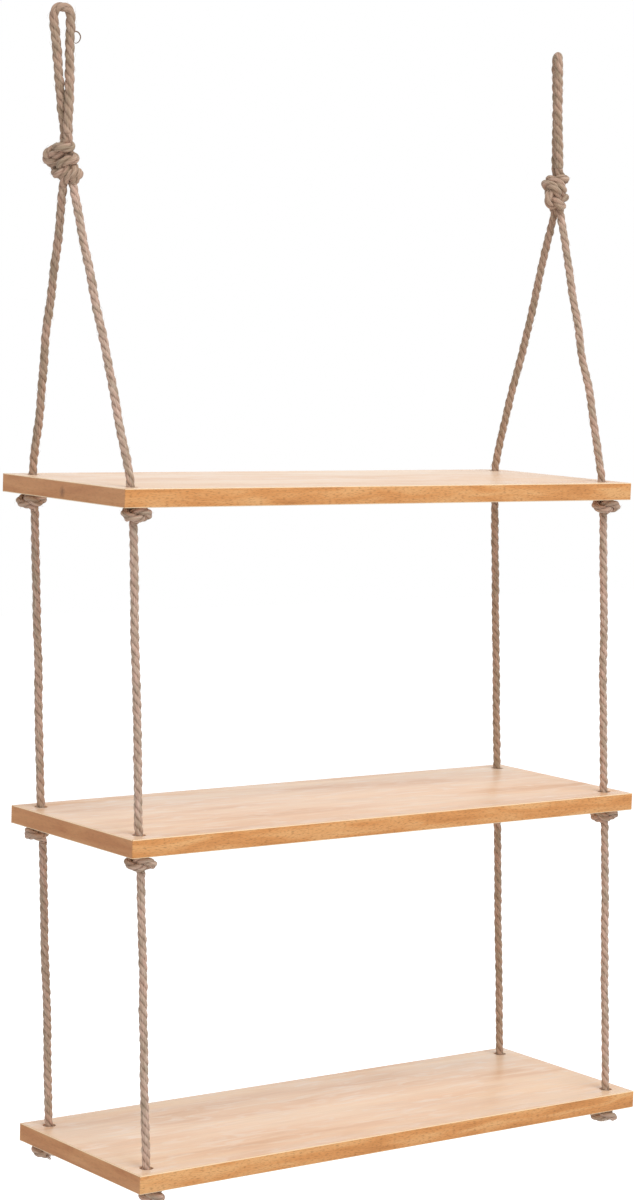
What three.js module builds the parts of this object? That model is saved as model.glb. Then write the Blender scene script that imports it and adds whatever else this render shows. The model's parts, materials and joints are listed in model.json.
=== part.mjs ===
// A hanging shelf: three wooden boards strung on two ropes. Each rope is folded in half and knotted
// into a loop for a hook. Its two legs run down through the front and rear holes of every board, with
// an overhand stop knot under each board that the board rests on.
// Millimetres, +Z up, +X along the boards and +Y from the front edges to the rear edges.
// The origin is the inside top of the left loop, where the left hook carries the shelf.
import * as THREE from 'three';

// Boards: particle board faced with wood veneer, with veneer strips glued on the four edges
const boardLength = 600;
const boardDepth = 205;
const boardThickness = 17;
const bandThickness = 1;
const holeDiameter = 12.4;
const holeInsetFromEnd = 20;
const holeInsetFromEdge = 20;
const holeSegments = 12;

// Where the boards hang. The hooks are a little out of level, so each board lies a step along and a
// step forward of the one above it, and the ropes lean by that much.
const seatToTopBoard = 416.4;
const topToMiddleBoard = 311;
const middleToBottomBoard = 305;
const stepAlong = 14;
const stepForward = 7;
const topBoardAlong = 17;
const topBoardForward = 6.5;

// Hooks and rope
const hookSpacing = 585;
const ropeDiameter = 8;
const ropeSides = 8;
const faceGap = 0.3;
const straightStep = 20;
const legStep = 10;

// Hanging loops: the two sides lie together above the knot and open into a narrow eye at the top
const loopHeight = 107.1;
const eyeHeight = 66;
const eyeRadius = 6.6;
const sideGap = 0.45;
const loopSteps = 30;

// Where the loop's points lie. Up its two sides: shares of their length, with the share of their turn
// about each other. Up the eye: shares of the way from its foot to the crown's arc and of its spread.
const sideShares = [[0, 1], [0.1, 1], [0.4, 2 / 3], [0.7, 1 / 3]];
const eyeShares = [[0, 1 / 6], [1 / 2, 2 / 3]];
const crownAngles = [90, 60, 30, 0];
const loopTurns = { left: -32, right: 59 };

// How far the two sides turn about each other on their way down from the eye to the knot
const sideTurns = { left: -70, right: 15 };

// How far each loop leans along X for each millimetre up
const loopLeans = { left: -0.034, right: -0.056 };

// Stop knots: single overhand knots, which the boards' weight presses flat and squeezes a little thinner
const stopKnotRopeDiameter = 6.8;
const knotClearance = 0.8;
const knotHalfLength = 9;
const knotHalfHeight = 4.2;
const knotEndLength = 3;
const knotSides = 6;
const stopKnotSteps = 36;
const stopKnotSegments = 36;

// Loop knots: overhand knots tied in the doubled rope, which the pull squeezes thinner
const squeezedDiameter = 6.2;
const squeezedClearance = 1;
const loopKnotHalfLength = 20;
const loopKnotHalfHeight = 16;
const loopKnotEndLength = 4;
const loopKnotSteps = 60;
const loopKnotSegments = 64;

// How each loop knot is turned about the rope, and how far the legs leave it turned from the loop's sides
const loopKnotTurns = { left: 225, right: 225 };
const legExitTurns = { left: 70, right: -106 };

// Where a leg's points lie: shares of its way from the knot to the top board, how far above the
// hole's mouth it ends as a share of the rope, and how deep in the hole it has straightened
const legShares = [0.25, 0.5, 0.75];
const mouthShare = 0.25;
const holeDepthShare = 1 / 3;

// How each stop knot is turned about its rope, in degrees
const stopKnotTurns = {
  top: { front_left: 150, rear_left: 40, front_right: -35, rear_right: 100 },
  middle: { front_left: -20, rear_left: 200, front_right: 120, rear_right: -70 },
  bottom: { front_left: 80, rear_left: -130, front_right: 10, rear_right: 170 },
};

// Shares of the rope's spacing that set out the loose knot: its size, how far its two leads reach
// along the axis, how far beside the axis they lie and where they turn into the knot
const looseKnotShares = { single: 1.65, doubled: 3 };
const leadShares = { single: 6, doubled: 12 };
const leadSideShare = 2.3;
const shoulderShare = 2.1;
const knotReach = 2.6;
const loosePoints = 80;
const slopeStep = 0.01;

// How the loose knot is drawn up: the rope's shortening in a round, how far its segments may be
// stretched before it counts as tight, the slack given back then, and how strongly bends even out
const shrinkShare = 0.9985;
const tightShare = 1.15;
const easeShare = 1.015;
const bendShare = 0.05;
const pullRounds = 400;
const easeRounds = 120;
const passesPerRound = 6;

// Points a rope on which its least gap to itself is measured
const gapPoints = 240;

const degree = Math.PI / 180;
const finishes = {
  veneer: { color: 0xe6c7a0, roughness: 0.45, metalness: 0 },
  edgeBand: { color: 0xd49a5c, roughness: 0.5, metalness: 0 },
  jute: { color: 0xb08a63, roughness: 0.95, metalness: 0 },
};

const shelf = new THREE.Group();

function addMesh(parent, name, geometry, finish) {
  const mesh = new THREE.Mesh(geometry, new THREE.MeshStandardMaterial(finishes[finish]));
  mesh.name = name;
  parent.add(mesh);
  return mesh;
}

// Places of the boards: the centre of each one's top face
const hookMiddle = hookSpacing / 2;
const tiers = [
  { name: 'top', x: hookMiddle + topBoardAlong, y: -topBoardForward, z: -seatToTopBoard },
  {
    name: 'middle',
    x: hookMiddle + topBoardAlong + stepAlong,
    y: -topBoardForward - stepForward,
    z: -seatToTopBoard - topToMiddleBoard,
  },
  {
    name: 'bottom',
    x: hookMiddle + topBoardAlong + 2 * stepAlong,
    y: -topBoardForward - 2 * stepForward,
    z: -seatToTopBoard - topToMiddleBoard - middleToBottomBoard,
  },
];

// Holes: one near each corner of every board, named by the corner
const holeAlong = boardLength / 2 - holeInsetFromEnd;
const holeAcross = boardDepth / 2 - holeInsetFromEdge;
const corners = [
  { name: 'front_left', side: 'left', x: -holeAlong, y: -holeAcross },
  { name: 'rear_left', side: 'left', x: -holeAlong, y: holeAcross },
  { name: 'front_right', side: 'right', x: holeAlong, y: -holeAcross },
  { name: 'rear_right', side: 'right', x: holeAlong, y: holeAcross },
];

// One board: a panel with four rope holes, with the end strips between the two long strips
function addBoard(tier) {
  const board = new THREE.Group();
  board.position.set(tier.x, tier.y, tier.z - boardThickness);
  shelf.add(board);

  const halfLength = boardLength / 2 - bandThickness;
  const halfDepth = boardDepth / 2 - bandThickness;
  const outline = new THREE.Shape();
  outline.moveTo(-halfLength, -halfDepth);
  outline.lineTo(halfLength, -halfDepth);
  outline.lineTo(halfLength, halfDepth);
  outline.lineTo(-halfLength, halfDepth);
  outline.closePath();
  for (const corner of corners) {
    const hole = new THREE.Path();
    hole.absarc(corner.x, corner.y, holeDiameter / 2, 0, 2 * Math.PI, true);
    outline.holes.push(hole);
  }
  const panel = new THREE.ExtrudeGeometry(outline, {
    depth: boardThickness,
    bevelEnabled: false,
    curveSegments: holeSegments,
  });
  addMesh(board, `${tier.name}_board_panel`, panel, 'veneer');

  for (const [edge, y] of [['front', -1], ['rear', 1]]) {
    const strip = new THREE.BoxGeometry(boardLength, bandThickness, boardThickness);
    const mesh = addMesh(board, `${tier.name}_board_${edge}_edge_band`, strip, 'edgeBand');
    mesh.position.set(0, y * (boardDepth - bandThickness) / 2, boardThickness / 2);
  }
  for (const [edge, x] of [['left', -1], ['right', 1]]) {
    const strip = new THREE.BoxGeometry(bandThickness, 2 * halfDepth, boardThickness);
    const mesh = addMesh(board, `${tier.name}_board_${edge}_edge_band`, strip, 'edgeBand');
    mesh.position.set(x * (boardLength - bandThickness) / 2, 0, boardThickness / 2);
  }
}

// A round rope along a curve, as a tube with the given number of flat sides
function ropeTube(curve, diameter, sides, steps) {
  const section = new THREE.Shape();
  for (let i = 0; i < sides; i += 1) {
    const angle = 2 * Math.PI * i / sides;
    const x = diameter / 2 * Math.cos(angle);
    const y = diameter / 2 * Math.sin(angle);
    if (i === 0) section.moveTo(x, y);
    else section.lineTo(x, y);
  }
  section.closePath();
  return new THREE.ExtrudeGeometry(section, { steps, bevelEnabled: false, extrudePath: curve });
}

const smooth = (points) => new THREE.CatmullRomCurve3(points, false, 'centripetal');

// A loose overhand knot tied round the X axis, its rope entering at +X and leaving at -X
function looseOverhand(size, lead, offset) {
  const at = (t) => new THREE.Vector3(
    Math.sin(t) + 2 * Math.sin(2 * t),
    Math.cos(t) - 2 * Math.cos(2 * t),
    -Math.sin(3 * t),
  );
  const points = [];
  for (let i = 0; i <= loosePoints; i += 1) {
    const t = knotReach * (2 * i / loosePoints - 1);
    const along = at(t + slopeStep).sub(at(t - slopeStep));
    const outward = new THREE.Vector3(-along.y, along.x, 0).normalize();
    points.push(at(t).multiplyScalar(size).addScaledVector(outward, offset));
  }
  const side = -leadSideShare * size - offset;
  const shoulder = shoulderShare * size;
  return [
    new THREE.Vector3(lead, side, 0),
    new THREE.Vector3(shoulder, side, 0),
    ...points,
    new THREE.Vector3(-shoulder, side, 0),
    new THREE.Vector3(-lead, side, 0),
  ];
}

// Draws a knot up tight. The strands keep their ends on the two given places and get shorter round by
// round, while any two stretches of rope push each other off to the given distance. The same push,
// eased for stretches that follow each other, keeps each bend from folding the rope. The knot keeps its
// ropes' centre lines within half its height along X.
function pullTight(strands, ends, distance, halfHeight) {
  const last = strands[0].length - 1;
  const lengthOf = (strand) => strand.slice(1).reduce((sum, p, i) => sum + p.distanceTo(strand[i]), 0);
  const starts = strands.map((strand) => [strand[0].clone(), strand[last].clone()]);
  const points = strands.flatMap((strand, k) => strand.map((p, i) => ({ p, k, i })));
  const d = new THREE.Vector3();
  let segment = Math.max(...strands.map(lengthOf)) / last;
  let easing = 0;
  for (let round = 0; easing < easeRounds; round += 1) {
    const drawn = Math.min(1, round / pullRounds);
    strands.forEach((strand, k) => {
      strand[0].lerpVectors(starts[k][0], ends[k][0], drawn);
      strand[last].lerpVectors(starts[k][1], ends[k][1], drawn);
    });
    if (easing) easing += 1;
    else segment *= shrinkShare;
    for (let pass = 0; pass < passesPerRound; pass += 1) {
      for (const strand of strands) {
        for (let i = 1; i < last; i += 1) {
          d.addVectors(strand[i - 1], strand[i + 1]).multiplyScalar(0.5).sub(strand[i]);
          strand[i].addScaledVector(d, bendShare);
          if (i === 1 || i === last - 1) continue;
          strand[i].setX(THREE.MathUtils.clamp(strand[i].x, -halfHeight, halfHeight));
        }
        for (let i = 0; i < last; i += 1) {
          d.subVectors(strand[i + 1], strand[i]);
          const pull = (d.length() - segment) / d.length() / 2;
          if (i > 0) strand[i].addScaledVector(d, pull);
          if (i + 1 < last) strand[i + 1].addScaledVector(d, -pull);
        }
      }
      for (let a = 0; a < points.length; a += 1) {
        for (let b = a + 1; b < points.length; b += 1) {
          const one = points[a];
          const other = points[b];
          const steps = one.k === other.k ? other.i - one.i : Infinity;
          if (steps < 2) continue;
          const clear = distance * Math.sin(Math.min(steps * segment / distance, Math.PI / 2));
          d.subVectors(other.p, one.p);
          if (d.length() >= clear) continue;
          const push = (clear - d.length()) / d.length() / 2;
          if (one.i > 0 && one.i < last) one.p.addScaledVector(d, -push);
          if (other.i > 0 && other.i < last) other.p.addScaledVector(d, push);
        }
      }
    }
    const lengths = strands.flatMap((strand) => strand.slice(1).map((p, i) => p.distanceTo(strand[i])));
    const longest = Math.max(...lengths);
    if (!easing && drawn === 1 && longest > tightShare * segment) {
      easing = 1;
      segment *= easeShare;
    }
  }
  return strands;
}

// The least gap between the rope's surfaces where it passes itself or its neighbour, printed
function printLeastGap(name, strands, diameter) {
  const fine = strands.map((strand) => smooth(strand).getSpacedPoints(gapPoints));
  const step = fine[0][0].distanceTo(fine[0][1]);
  let least = Infinity;
  for (let k = 0; k < fine.length; k += 1) {
    for (let m = k; m < fine.length; m += 1) {
      fine[k].forEach((p, i) => fine[m].forEach((q, j) => {
        if (m > k || (j - i) * step > 2 * diameter) least = Math.min(least, p.distanceTo(q));
      }));
    }
  }
  console.log(`${name}: least gap to itself ${(least - diameter).toFixed(2)} mm`);
}

const even = (points, count) => smooth(points).getSpacedPoints(count);

// The stop knot's centre line, up the X axis, the same for every stop knot
function stopKnotCentreLine() {
  const distance = stopKnotRopeDiameter + knotClearance;
  const loose = looseOverhand(looseKnotShares.single * distance, leadShares.single * distance, 0);
  const ends = [new THREE.Vector3(knotHalfLength, 0, 0), new THREE.Vector3(-knotHalfLength, 0, 0)];
  const [line] = pullTight([even(loose, stopKnotSegments)], [ends], distance, knotHalfHeight);
  printLeastGap('stop knot', [line], stopKnotRopeDiameter);
  return line;
}
const stopKnotLine = stopKnotCentreLine();

// A knot's centre line with a straight end of the given length added at each end: along X at the
// first, and in the given direction at the last
function withEnds(line, endLength, direction) {
  const first = line[0].clone();
  first.x += endLength;
  const last = line[line.length - 1].clone().addScaledVector(direction, endLength);
  return [first, ...line, last];
}

// The loop knot's two centre lines. At +X its ends lie a loop side apart, turned about the rope as the
// knot is; at -X they are turned further, to where the legs leave.
const loopSideSpacing = ropeDiameter + sideGap;
function loopKnotLines(side) {
  const distance = squeezedDiameter + squeezedClearance;
  const size = looseKnotShares.doubled * distance;
  const lead = leadShares.doubled * distance;
  const turn = loopKnotTurns[side] * degree;
  const exitTurn = turn + legExitTurns[side] * degree;
  const loose = [1, -1].map((s) => even(looseOverhand(size, lead, s * distance / 2), loopKnotSegments));
  const half = loopSideSpacing / 2;
  const ends = [-1, 1].map((s) => [
    new THREE.Vector3(loopKnotHalfLength, s * half * Math.cos(turn), s * half * Math.sin(turn)),
    new THREE.Vector3(-loopKnotHalfLength, s * half * Math.cos(exitTurn), s * half * Math.sin(exitTurn)),
  ]);
  const lines = pullTight(loose, ends, distance, loopKnotHalfHeight);
  printLeastGap(`${side} loop knot`, lines, squeezedDiameter);
  return lines;
}

// The turn that takes a knot's X axis to the given direction, after a turn about that axis
function knotTurn(up, turn) {
  const about = new THREE.Quaternion().setFromAxisAngle(new THREE.Vector3(1, 0, 0), turn);
  return new THREE.Quaternion().setFromUnitVectors(new THREE.Vector3(1, 0, 0), up).multiply(about);
}

// The rope line through a corner's holes at a height, measured from a board to the next one
function ropeLine(corner, upper, lower) {
  const drop = upper.z - lower.z;
  const up = new THREE.Vector3(upper.x - lower.x, upper.y - lower.y, drop).normalize();
  const middle = upper.z - boardThickness / 2;
  const start = new THREE.Vector3(upper.x + corner.x, upper.y + corner.y, middle);
  const at = (z) => start.clone().addScaledVector(up, (z - middle) / up.z);
  return { up, at };
}

// Stop knots: turned and then lifted until the knot's shoulders, which is all that lies further out
// than halfway between the rope and the hole's edge, meet the board's underside
const shoulderRadius = (holeDiameter + stopKnotRopeDiameter) / 4;
function addStopKnot(tier, corner, line) {
  const points = withEnds(stopKnotLine, knotEndLength, new THREE.Vector3(-1, 0, 0));
  const geometry = ropeTube(smooth(points), stopKnotRopeDiameter, knotSides, stopKnotSteps);
  const underside = tier.z - boardThickness;
  const turn = knotTurn(line.up, stopKnotTurns[tier.name][corner.name] * degree);
  const axis = line.at(underside);
  const v = new THREE.Vector3();
  const place = geometry.getAttribute('position');
  let shoulder = -Infinity;
  for (let i = 0; i < place.count; i += 1) {
    v.fromBufferAttribute(place, i).applyQuaternion(turn);
    if (Math.hypot(v.x, v.y) > shoulderRadius) shoulder = Math.max(shoulder, v.z);
  }
  const centre = line.at(underside - faceGap - shoulder);
  const mesh = addMesh(shelf, `${tier.name}_${corner.name}_stop_knot`, geometry, 'jute');
  mesh.quaternion.copy(turn);
  mesh.position.copy(centre);
  return {
    top: centre.clone().addScaledVector(line.up, knotHalfLength + knotEndLength + faceGap),
    bottom: centre.clone().addScaledVector(line.up, -knotHalfLength - knotEndLength - faceGap),
  };
}

function addStraightRope(name, from, to) {
  const steps = Math.max(1, Math.round(from.distanceTo(to) / straightStep));
  const geometry = ropeTube(new THREE.LineCurve3(from, to), ropeDiameter, ropeSides, steps);
  addMesh(shelf, name, geometry, 'jute');
}

// One hanging loop and its knot. Each of the knot's two strands leaves towards its leg's hole.
function addLoop(side, seat, mouths, legTops) {
  const up = new THREE.Vector3(loopLeans[side], 0, 1).normalize();
  const turn = loopTurns[side] * degree;
  const flat = new THREE.Vector3(Math.cos(turn), Math.sin(turn), 0);
  const across = flat.clone().addScaledVector(up, -flat.dot(up)).normalize();
  const basis = new THREE.Matrix4().makeBasis(up, across, up.clone().cross(across));

  const crown = loopHeight + ropeDiameter / 2;
  const half = loopSideSpacing / 2;
  const eyeFoot = crown - eyeHeight;
  const eyeCentre = crown - eyeRadius;
  const sideTurn = sideTurns[side] * degree;
  const sides = sideShares.map(([rise, share]) => [eyeFoot * rise, half, sideTurn * share]);
  const eye = eyeShares.map(([rise, spread]) => [
    eyeFoot + (eyeCentre - eyeFoot) * rise,
    half + (eyeRadius - half) * spread,
    0,
  ]);
  const crownArc = crownAngles.map((a) => [
    eyeCentre + eyeRadius * Math.cos(a * degree),
    eyeRadius * Math.sin(a * degree),
    0,
  ]);
  const oneSide = [...sides, ...eye, ...crownArc];
  const otherSide = oneSide.slice(0, -1).reverse().map(([h, w, a]) => [h, -w, a]);
  const path = [...oneSide, ...otherSide].map(
    ([h, w, a]) => new THREE.Vector3(h - loopHeight, w * Math.cos(a), w * Math.sin(a)),
  );
  const loop = addMesh(
    shelf,
    `${side}_hanging_loop`,
    ropeTube(smooth(path), ropeDiameter, ropeSides, loopSteps),
    'jute',
  );
  loop.quaternion.setFromRotationMatrix(basis);
  loop.position.copy(seat);

  const lines = loopKnotLines(side);
  const reach = loopKnotHalfLength + loopKnotEndLength;
  const centre = seat.clone().addScaledVector(up, -loopHeight - faceGap - reach);
  const knotPlace = basis.clone().multiply(
    new THREE.Matrix4().makeRotationX(sideTurn - loopKnotTurns[side] * degree),
  ).setPosition(centre);
  const toKnot = knotPlace.clone().invert();
  lines.forEach((line, k) => {
    const strand = ['rear', 'front'][k];
    const foot = line[line.length - 1].clone().applyMatrix4(knotPlace);
    const slope = mouths[`${strand}_${side}`].clone().sub(foot).normalize();
    const points = withEnds(line, loopKnotEndLength, slope.clone().transformDirection(toKnot));
    const knot = addMesh(
      shelf,
      `${side}_loop_knot_${strand}_strand`,
      ropeTube(smooth(points), squeezedDiameter, knotSides, loopKnotSteps),
      'jute',
    );
    knot.quaternion.setFromRotationMatrix(knotPlace);
    knot.position.copy(centre);
    legTops[`${strand}_${side}`] = foot.addScaledVector(slope, loopKnotEndLength + faceGap);
  });
}

for (const tier of tiers) addBoard(tier);

// Where each leg reaches the top board: the middle of the rope, just above its hole
const [top, middle, bottom] = tiers;
const mouths = {};
for (const corner of corners) {
  mouths[corner.name] = ropeLine(corner, top, middle).at(top.z + ropeDiameter * mouthShare);
}
const legTops = {};
addLoop('left', new THREE.Vector3(0, 0, 0), mouths, legTops);
addLoop('right', new THREE.Vector3(hookSpacing, 0, 0), mouths, legTops);

// Ropes below the loop knots: a leg to the top board, then a knot and a stretch for each board
for (const corner of corners) {
  const upper = ropeLine(corner, top, middle);
  const lower = ropeLine(corner, middle, bottom);
  const topKnot = addStopKnot(top, corner, upper);
  const middleKnot = addStopKnot(middle, corner, upper);
  const bottomKnot = addStopKnot(bottom, corner, lower);
  addStraightRope(`${corner.name}_upper_rope`, topKnot.bottom, middleKnot.top);
  addStraightRope(`${corner.name}_lower_rope`, middleKnot.bottom, bottomKnot.top);

  const exit = legTops[corner.name];
  const mouth = mouths[corner.name];
  const slope = exit.clone().sub(mouth).normalize();
  const leg = smooth([
    exit,
    ...legShares.map((share) => exit.clone().lerp(mouth, share)),
    mouth.clone().addScaledVector(slope, ropeDiameter),
    upper.at(top.z - boardThickness * holeDepthShare),
    topKnot.top,
  ]);
  const steps = Math.round(leg.getLength() / legStep);
  addMesh(shelf, `${corner.name}_leg`, ropeTube(leg, ropeDiameter, ropeSides, steps), 'jute');
}

export default shelf;
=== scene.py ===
# A hanging shelf: three veneered boards strung on two knotted jute ropes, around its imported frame.
import json
import math
import random

import bpy
import numpy as np
from mathutils import Matrix, Vector


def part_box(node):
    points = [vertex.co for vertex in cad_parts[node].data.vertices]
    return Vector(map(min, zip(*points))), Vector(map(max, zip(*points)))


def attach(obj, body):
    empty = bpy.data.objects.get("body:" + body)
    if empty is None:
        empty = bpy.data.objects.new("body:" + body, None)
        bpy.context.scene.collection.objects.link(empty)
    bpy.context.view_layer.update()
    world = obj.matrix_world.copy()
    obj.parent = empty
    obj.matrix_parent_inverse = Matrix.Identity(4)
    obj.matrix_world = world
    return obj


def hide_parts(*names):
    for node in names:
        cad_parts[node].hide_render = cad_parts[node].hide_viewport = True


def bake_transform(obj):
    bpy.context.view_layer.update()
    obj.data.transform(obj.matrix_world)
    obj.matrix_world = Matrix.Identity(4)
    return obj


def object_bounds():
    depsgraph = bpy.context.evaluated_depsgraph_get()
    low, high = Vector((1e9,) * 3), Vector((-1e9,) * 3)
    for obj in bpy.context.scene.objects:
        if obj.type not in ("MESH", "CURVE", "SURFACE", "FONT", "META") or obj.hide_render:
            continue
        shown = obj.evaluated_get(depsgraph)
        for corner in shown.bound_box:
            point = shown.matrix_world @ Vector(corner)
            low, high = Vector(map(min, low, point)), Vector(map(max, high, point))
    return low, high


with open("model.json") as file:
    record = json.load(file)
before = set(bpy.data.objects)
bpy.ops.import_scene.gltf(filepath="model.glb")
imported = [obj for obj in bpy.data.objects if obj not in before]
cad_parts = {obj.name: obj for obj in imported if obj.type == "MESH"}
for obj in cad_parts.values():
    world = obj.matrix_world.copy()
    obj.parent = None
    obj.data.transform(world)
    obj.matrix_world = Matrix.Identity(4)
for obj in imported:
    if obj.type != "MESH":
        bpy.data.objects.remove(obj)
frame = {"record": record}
cad_low, cad_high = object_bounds()
bpy.ops.object.select_all(action="DESELECT")
mm = 0.001


# Camera
# It stands to the left of the shelf and a little above its middle, with a long lens, where the
# photograph was taken from. Its place and turns are those that put the boards' corners on the picture.
photo_height = 1200
focal_pixels = 3062.9
sensor_millimetres = 36
clip_distance = 50
camera_place = (-1.4702, -2.3384, -0.2433)
camera_turn = math.radians(-37.229)
camera_drop = math.radians(5.660)
camera_roll = math.radians(2.013)

back = Vector((
    math.sin(camera_turn) * math.cos(camera_drop),
    -math.cos(camera_turn) * math.cos(camera_drop),
    math.sin(camera_drop),
))
level_right = Vector((-back.y, back.x, 0)).normalized()
level_up = back.cross(level_right)
picture_right = level_right * math.cos(camera_roll) + level_up * math.sin(camera_roll)
picture_up = level_up * math.cos(camera_roll) - level_right * math.sin(camera_roll)
lens = bpy.data.cameras.new("camera")
lens.lens = focal_pixels / photo_height * sensor_millimetres
lens.sensor_width = sensor_millimetres
lens.clip_end = clip_distance
camera = bpy.data.objects.new("camera", lens)
camera.matrix_world = Matrix.Translation(camera_place) @ Matrix(
    (picture_right, picture_up, back)
).transposed().to_4x4()
bpy.context.scene.collection.objects.link(camera)
bpy.context.scene.camera = camera


# Jute rope
# Three soft strands of jute yarn laid up left-handed into a rope about 8 mm thick, dull and hairy,
# with shallow creases between the strands. lay_rope lays all its stretches and knots, in millimetres,
# and the strands' shares are of half the rope's thickness.
rope_thickness = 8.0
rope_turn_length = 27.0
turn_length_shares = (0.93, 1.07)
ring_spacing = 0.9
curve_steps = 12
strand_count = 3
strand_points = 8
strand_reach_share = 0.34
strand_radius_share = 0.66
crease_share = 0.76
strand_swell_share = 0.05
strand_swell_length = 5.2
strand_swell_step = 2.1
slow_swell_share = 0.02
slow_swell_length = 9.0
quick_swell_share = 0.015
quick_swell_length = 4.1
phase_span = 6.0
first_mark = (0.3, 1.0, 0.2)
spike_sides = 3
spike_rings = 4
spike_points = spike_sides * spike_rings + 1
spike_shares = [k / spike_rings for k in range(spike_rings)]
hairs_per_millimetre = 0.6
hair_lengths = (2.5, 7.0)
hair_radii = (0.05, 0.1)
hair_least_reach = 0.5
hair_reach = 1.8
hair_drift = 2.0
hair_arch = 2.2
hair_sink = 0.15
hair_taper_share = 0.5
hair_end_rings = 2
seed_shift = 73.0
hair_shift = 3.1
yarn_lean_share = 0.85
yarn_size = (1.1, 11.0)
fibre_size = (0.3, 4.5)
patch_size = (6.25, 20.0)
yarn_stops = (0.32, 0.5, 0.68)
tint_stops = (0.36, 0.5, 0.66)
tint_share = 0.5
shade_range = (0.3, 0.7)
fibre_shades = (0.8, 1.12)
patch_shades = (0.85, 1.12)
crease_range = (0.35, 1)
filling_range = (0.35, 0.65)
filled_depths = (0.85, 0.2)
jute_roughness = 0.9
jute_gloss = 0.2
jute_sheen = 0.15
jute_bump_strength = 0.6
jute_bump_depth = 0.5
jute_light = 0xEDD8C6
jute_middle = 0xCFB19D
jute_dark = 0xAC8E7B
# The crease colour is painted shade between the strands.
jute_crease_shade = 0x745A4A
jute_pink = 0xD0A898
jute_olive = 0xC0AC92
# The darkening tint is multiplied in by the darkening attribute; on the rear ropes and legs it is painted
# shade.
darkening_tint = 0xECE9E2


def linear(colour):
    """A hex sRGB colour as the linear red, green, blue and alpha that Blender's sockets take."""
    channels = [(colour >> shift & 255) / 255 for shift in (16, 8, 0)]
    return [c / 12.92 if c <= 0.04045 else ((c + 0.055) / 1.055) ** 2.4 for c in channels] + [1]


def add_node(tree, kind, inputs, **settings):
    """Adds a node with its settings, and links or fills the inputs named."""
    made = tree.nodes.new(kind)
    for key, value in settings.items():
        setattr(made, key, value)
    for key, value in inputs.items():
        if isinstance(value, bpy.types.NodeSocket):
            tree.links.new(value, made.inputs[key])
        else:
            made.inputs[key].default_value = value
    return made


def new_material(name):
    """A new material with an empty node tree, and its Principled shader and output."""
    made = bpy.data.materials.new(name)
    made.use_nodes = True
    tree = made.node_tree
    tree.nodes.clear()
    shader = add_node(tree, "ShaderNodeBsdfPrincipled", {})
    add_node(tree, "ShaderNodeOutputMaterial", {"Surface": shader.outputs[0]})
    return made, tree, shader


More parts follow.
